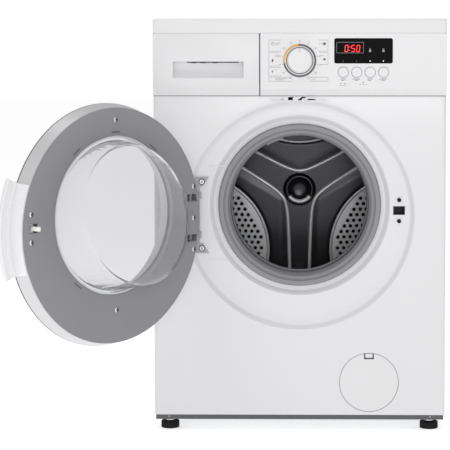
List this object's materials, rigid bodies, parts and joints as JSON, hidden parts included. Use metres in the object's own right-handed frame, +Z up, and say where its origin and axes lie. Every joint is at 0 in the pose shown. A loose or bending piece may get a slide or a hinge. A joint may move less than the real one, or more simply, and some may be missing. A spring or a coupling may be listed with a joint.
{
  "type": "front load washing machine",
  "caption": "Freestanding washing machine with a round glass door, a detergent drawer, a programme knob and a hung drum unit behind a rubber gasket.",
  "frame": {"origin": "on the floor, in the middle of the rectangle of the four feet", "axes": "+Z up, +X to the right and +Y into the machine, seen by someone standing in front of the door"},
  "size_m": [0.8509, 0.9868, 0.85],
  "materials": {
    "painted_panel": "satin white enamel",
    "galvanised": "matt galvanised sheet",
    "white_laminate": "satin laminate",
    "white_gloss": "smooth moulded plastic",
    "door_white": "smooth moulded plastic",
    "grey_ring": "fine matt moulded plastic",
    "plinth_grey": "matt moulded plastic",
    "display_black": "polished dark window",
    "board_grey": "moulded tray with potted board",
    "drawer_grey": "moulded plastic",
    "tub_plastic": "filled polypropylene",
    "valve_plastic": "moulded plastic",
    "black_plastic": "matt moulded plastic",
    "foot_black": "matt rubber pad",
    "gasket_rubber": "satin grey rubber",
    "hose_rubber": "ribbed rubber",
    "hose_grey": "corrugated hose",
    "zinc_steel": "zinc plated",
    "hinge_metal": "cast, lightly blasted",
    "stainless": "polished stainless",
    "spring_steel": "oiled spring steel",
    "cast_weight": "rough cast",
    "cast_aluminium": "sand cast",
    "motor_steel": "painted and bare steel",
    "belt_rubber": "ribbed belt",
    "clear_glass": "clear moulded glass",
    "hook_white": "moulded nylon"
  },
  "bodies": {
    "cabinet": {"side_panel_left": "painted_panel", "side_panel_right": "painted_panel", "rear_panel": "galvanised", "rear_cover": "galvanised", "cabinet_screws": "zinc_steel", "front_panel": "painted_panel", "worktop": "white_laminate", "top_frame": "galvanised", "base_frame": "galvanised", "plinth_strip": "plinth_grey", "feet": "foot_black", "foot_locknuts": "zinc_steel", "control_fascia": "white_gloss", "display_window": "display_black", "control_board": "board_grey", "dispenser_housing": "drawer_grey", "dispenser_hose": "hose_rubber", "inlet_valve": "valve_plastic", "inlet_hose": "hose_grey", "mains_inlet": "black_plastic", "hinge_bracket": "hinge_metal", "door_lock": "black_plastic", "drain_pump": "tub_plastic", "drain_hose": "hose_grey", "sump_hose": "hose_rubber", "damper_cylinders": "black_plastic", "suspension_springs": "spring_steel", "gasket": "gasket_rubber"},
    "tub": {"tub_front": "tub_plastic", "tub_rear": "tub_plastic", "tub_screws": "zinc_steel", "counterweight_top": "cast_weight", "counterweight_front": "cast_weight", "motor_body": "motor_steel", "heater": "zinc_steel", "bearings": "zinc_steel", "damper_rods": "tub_plastic", "drive_belt": "belt_rubber"},
    "drum": {"drum_shell": "stainless", "drum_back_wall": "stainless", "drum_lifters": "drawer_grey", "drum_spider": "cast_aluminium", "drum_pulley": "cast_aluminium"},
    "motor_rotor": {"motor_rotor": "zinc_steel"},
    "door": {"door_frame": "door_white", "door_inner_ring": "grey_ring", "door_glass": "clear_glass", "door_handle": "door_white", "door_pins": "zinc_steel", "door_screws": "zinc_steel"},
    "door_hook": {"door_hook": "hook_white"},
    "drawer": {"drawer_front": "white_gloss", "drawer_tray": "drawer_grey"},
    "knob": {"knob": "white_gloss"},
    "button_1": {"button_1": "white_gloss"},
    "button_2": {"button_2": "white_gloss"},
    "button_3": {"button_3": "white_gloss"},
    "button_4": {"button_4": "white_gloss"},
    "filter_flap": {"filter_flap": "white_gloss"},
    "filter_cap": {"filter_cap": "tub_plastic"}
  },
  "joints": [
    {"name": "tub_bounce", "type": "slide", "parent": "cabinet", "child": "tub", "axis": [0, 0, 1], "range_m": [-0.008, 0.008], "stiffness_N_per_m": 22000, "springref_m": 0.02236, "deforming": ["suspension_springs", "gasket", "dispenser_hose", "sump_hose"]},
    {"name": "drum_spin", "type": "hinge", "parent": "tub", "child": "drum", "pos_m": [0, 0, 0.467], "axis": [0, 1, 0], "continuous": true},
    {"name": "motor_spin", "type": "hinge", "parent": "tub", "child": "motor_rotor", "pos_m": [-0.06, 0, 0.122], "axis": [0, 1, 0], "continuous": true},
    {"name": "door_hinge", "type": "hinge", "parent": "cabinet", "child": "door", "pos_m": [-0.2236, -0.3095, 0], "axis": [0, 0, 1], "range_deg": [0, 131.3]},
    {"name": "hook_pivot", "type": "hinge", "parent": "door", "child": "door_hook", "pos_m": [-0.49815, -0.63868, 0.4565], "axis": [0, 0, 1], "range_deg": [-6, 6], "stiffness_Nm_per_rad": 0.6},
    {"name": "drawer_slide", "type": "slide", "parent": "cabinet", "child": "drawer", "axis": [0, -1, 0], "range_m": [0, 0.19]},
    {"name": "knob_turn", "type": "hinge", "parent": "cabinet", "child": "knob", "pos_m": [0, 0, 0.765], "axis": [0, 1, 0], "continuous": true},
    {"name": "button_1_press", "type": "slide", "parent": "cabinet", "child": "button_1", "axis": [0, 1, 0], "range_m": [0, 0.0025], "stiffness_N_per_m": 500, "springref_m": -0.001},
    {"name": "button_2_press", "type": "slide", "parent": "cabinet", "child": "button_2", "axis": [0, 1, 0], "range_m": [0, 0.0025], "stiffness_N_per_m": 500, "springref_m": -0.001},
    {"name": "button_3_press", "type": "slide", "parent": "cabinet", "child": "button_3", "axis": [0, 1, 0], "range_m": [0, 0.0025], "stiffness_N_per_m": 500, "springref_m": -0.001},
    {"name": "button_4_press", "type": "slide", "parent": "cabinet", "child": "button_4", "axis": [0, 1, 0], "range_m": [0, 0.0025], "stiffness_N_per_m": 500, "springref_m": -0.001},
    {"name": "flap_hinge", "type": "hinge", "parent": "cabinet", "child": "filter_flap", "pos_m": [0.1434, -0.2825, 0.0408], "axis": [1, 0, 0], "range_deg": [0, 88]},
    {"name": "filter_turn", "type": "hinge", "parent": "cabinet", "child": "filter_cap", "pos_m": [0.1434, 0, 0.0952], "axis": [0, -1, 0], "range_deg": [0, 90]}
  ],
  "couplings": [
    {"joint": "motor_spin", "follows": "drum_spin", "ratio": 12.273}
  ]
}
